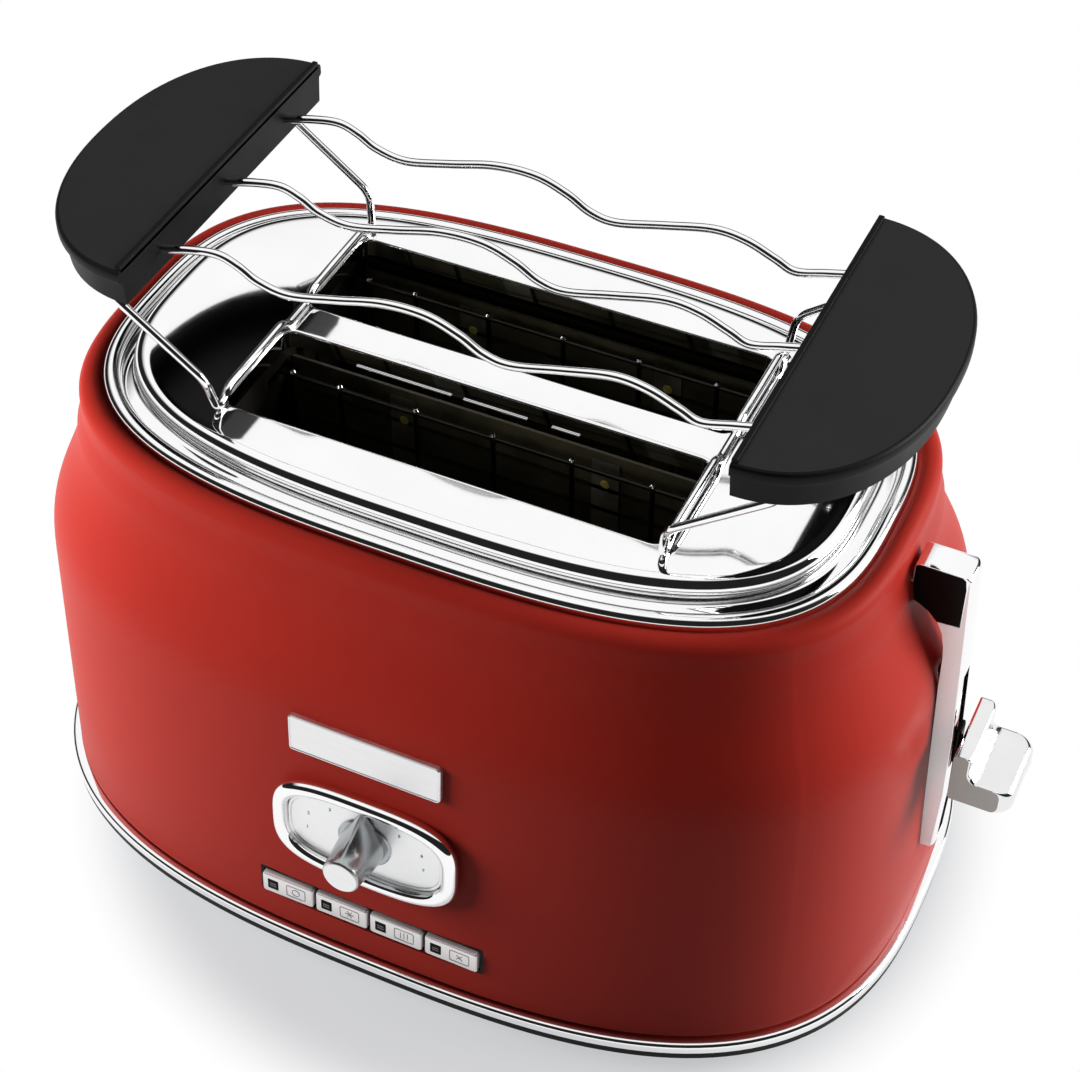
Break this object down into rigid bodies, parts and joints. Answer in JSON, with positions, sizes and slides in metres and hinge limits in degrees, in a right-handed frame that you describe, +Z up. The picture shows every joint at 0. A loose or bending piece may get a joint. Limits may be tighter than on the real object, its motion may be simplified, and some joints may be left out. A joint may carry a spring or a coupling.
{
  "type": "two-slot toaster",
  "caption": "Oval two-slot toaster with a lacquered shell, chrome trim, a browning dial, push buttons, a sliding lever, a crumb tray and a lift-off bun rack",
  "frame": {"origin": "under the middle of the whole box, on the plane that the feet stand on", "axes": "+X along the slots to the lever, -Y out of the front with the dial, +Z up"},
  "size_m": [0.325, 0.2183, 0.2262],
  "materials": {
    "red_lacquer": "satin metallic red lacquer",
    "chrome": "polished chrome",
    "steel": "plain zinc-plated sheet",
    "mica": "mica board with ribbon heater",
    "black_plastic": "matt black plastic",
    "rubber": "black rubber",
    "ivory": "pale ivory plastic",
    "dial_white": "silver white printed plate",
    "green_board": "circuit board lacquer"
  },
  "bodies": {
    "toaster": {"badge_plate": "chrome", "base_pan": "black_plastic", "base_ring": "chrome", "body_shell": "red_lacquer", "button_frame": "black_plastic", "control_board": "green_board", "cord_gland": "black_plastic", "dial_bezel": "chrome", "dial_face": "dial_white", "dial_potentiometer": "steel", "electromagnet": "steel", "end_plate_far": "steel", "end_plate_lever": "steel", "foot_1": "rubber", "foot_2": "rubber", "foot_3": "rubber", "foot_4": "rubber", "foot_screw_1": "steel", "foot_screw_2": "steel", "foot_screw_3": "steel", "foot_screw_4": "steel", "guide_rod": "steel", "heat_shield_back": "steel", "heat_shield_front": "steel", "heater_board_back": "mica", "heater_board_centre": "mica", "heater_board_front": "mica", "lever_bar": "chrome", "terminal_block": "black_plastic", "top_plate": "chrome", "top_rim_ring": "chrome"},
    "carriage": {"carriage_bracket": "steel", "bread_rack_front": "steel", "bread_rack_back": "steel", "lever_arm": "black_plastic", "lever_knob": "chrome", "armature_plate": "steel", "lift_spring": "steel"},
    "browning_dial": {"dial_shaft": "steel", "dial_knob": "chrome"},
    "bun_rack": {"rack_handle_left": "black_plastic", "rack_handle_right": "black_plastic", "rack_leg_left": "chrome", "rack_leg_right": "chrome", "rack_wire_front": "chrome", "rack_wire_middle": "chrome", "rack_wire_back": "chrome"},
    "crumb_tray": {"crumb_tray": "steel"},
    "guide_cage_front_outer": {"guide_cage_front_outer": "chrome"},
    "guide_cage_front_inner": {"guide_cage_front_inner": "chrome"},
    "guide_cage_back_inner": {"guide_cage_back_inner": "chrome"},
    "guide_cage_back_outer": {"guide_cage_back_outer": "chrome"},
    "button_1": {"button_1": "ivory"},
    "button_2": {"button_2": "ivory"},
    "button_3": {"button_3": "ivory"},
    "button_4": {"button_4": "ivory"}
  },
  "joints": [
    {"name": "carriage_slide", "type": "slide", "parent": "toaster", "child": "carriage", "axis": [0, 0, 1], "range_m": [-0.036, 0.02], "stiffness_N_per_m": 200, "springref_m": 0.00712, "deforming": ["lift_spring"]},
    {"name": "guide_cage_front_outer_slide", "type": "slide", "parent": "toaster", "child": "guide_cage_front_outer", "axis": [0, 1, 0], "range_m": [-0.0035, 0.0062]},
    {"name": "guide_cage_front_inner_slide", "type": "slide", "parent": "toaster", "child": "guide_cage_front_inner", "axis": [0, 1, 0], "range_m": [-0.0062, 0.0035]},
    {"name": "guide_cage_back_inner_slide", "type": "slide", "parent": "toaster", "child": "guide_cage_back_inner", "axis": [0, 1, 0], "range_m": [-0.0035, 0.0062]},
    {"name": "guide_cage_back_outer_slide", "type": "slide", "parent": "toaster", "child": "guide_cage_back_outer", "axis": [0, 1, 0], "range_m": [-0.0062, 0.0035]},
    {"name": "dial_turn", "type": "hinge", "parent": "toaster", "child": "browning_dial", "pos_m": [-0.01105, -0.09262, 0.06756], "axis": [0, -0.997, 0.0772], "range_deg": [-135, 135]},
    {"name": "button_1_slide", "type": "slide", "parent": "toaster", "child": "button_1", "axis": [0, -0.997, 0.0772], "range_m": [-0.0015, 0], "stiffness_N_per_m": 400},
    {"name": "button_2_slide", "type": "slide", "parent": "toaster", "child": "button_2", "axis": [0, -0.997, 0.0772], "range_m": [-0.0015, 0], "stiffness_N_per_m": 400},
    {"name": "button_3_slide", "type": "slide", "parent": "toaster", "child": "button_3", "axis": [0, -0.997, 0.0772], "range_m": [-0.0015, 0], "stiffness_N_per_m": 400},
    {"name": "button_4_slide", "type": "slide", "parent": "toaster", "child": "button_4", "axis": [0, -0.997, 0.0772], "range_m": [-0.0015, 0], "stiffness_N_per_m": 400},
    {"name": "crumb_tray_slide", "type": "slide", "parent": "toaster", "child": "crumb_tray", "axis": [0, 1, 0], "range_m": [0, 0.12]},
    {"name": "bun_rack_lift", "type": "slide", "parent": "toaster", "child": "bun_rack", "axis": [0, 0, 1], "range_m": [0, 0.06]}
  ],
  "couplings": [
    {"joint": "guide_cage_front_outer_slide", "follows": "carriage_slide", "ratio": -0.16667},
    {"joint": "guide_cage_front_inner_slide", "follows": "carriage_slide", "ratio": 0.16667},
    {"joint": "guide_cage_back_inner_slide", "follows": "carriage_slide", "ratio": -0.16667},
    {"joint": "guide_cage_back_outer_slide", "follows": "carriage_slide", "ratio": 0.16667}
  ]
}
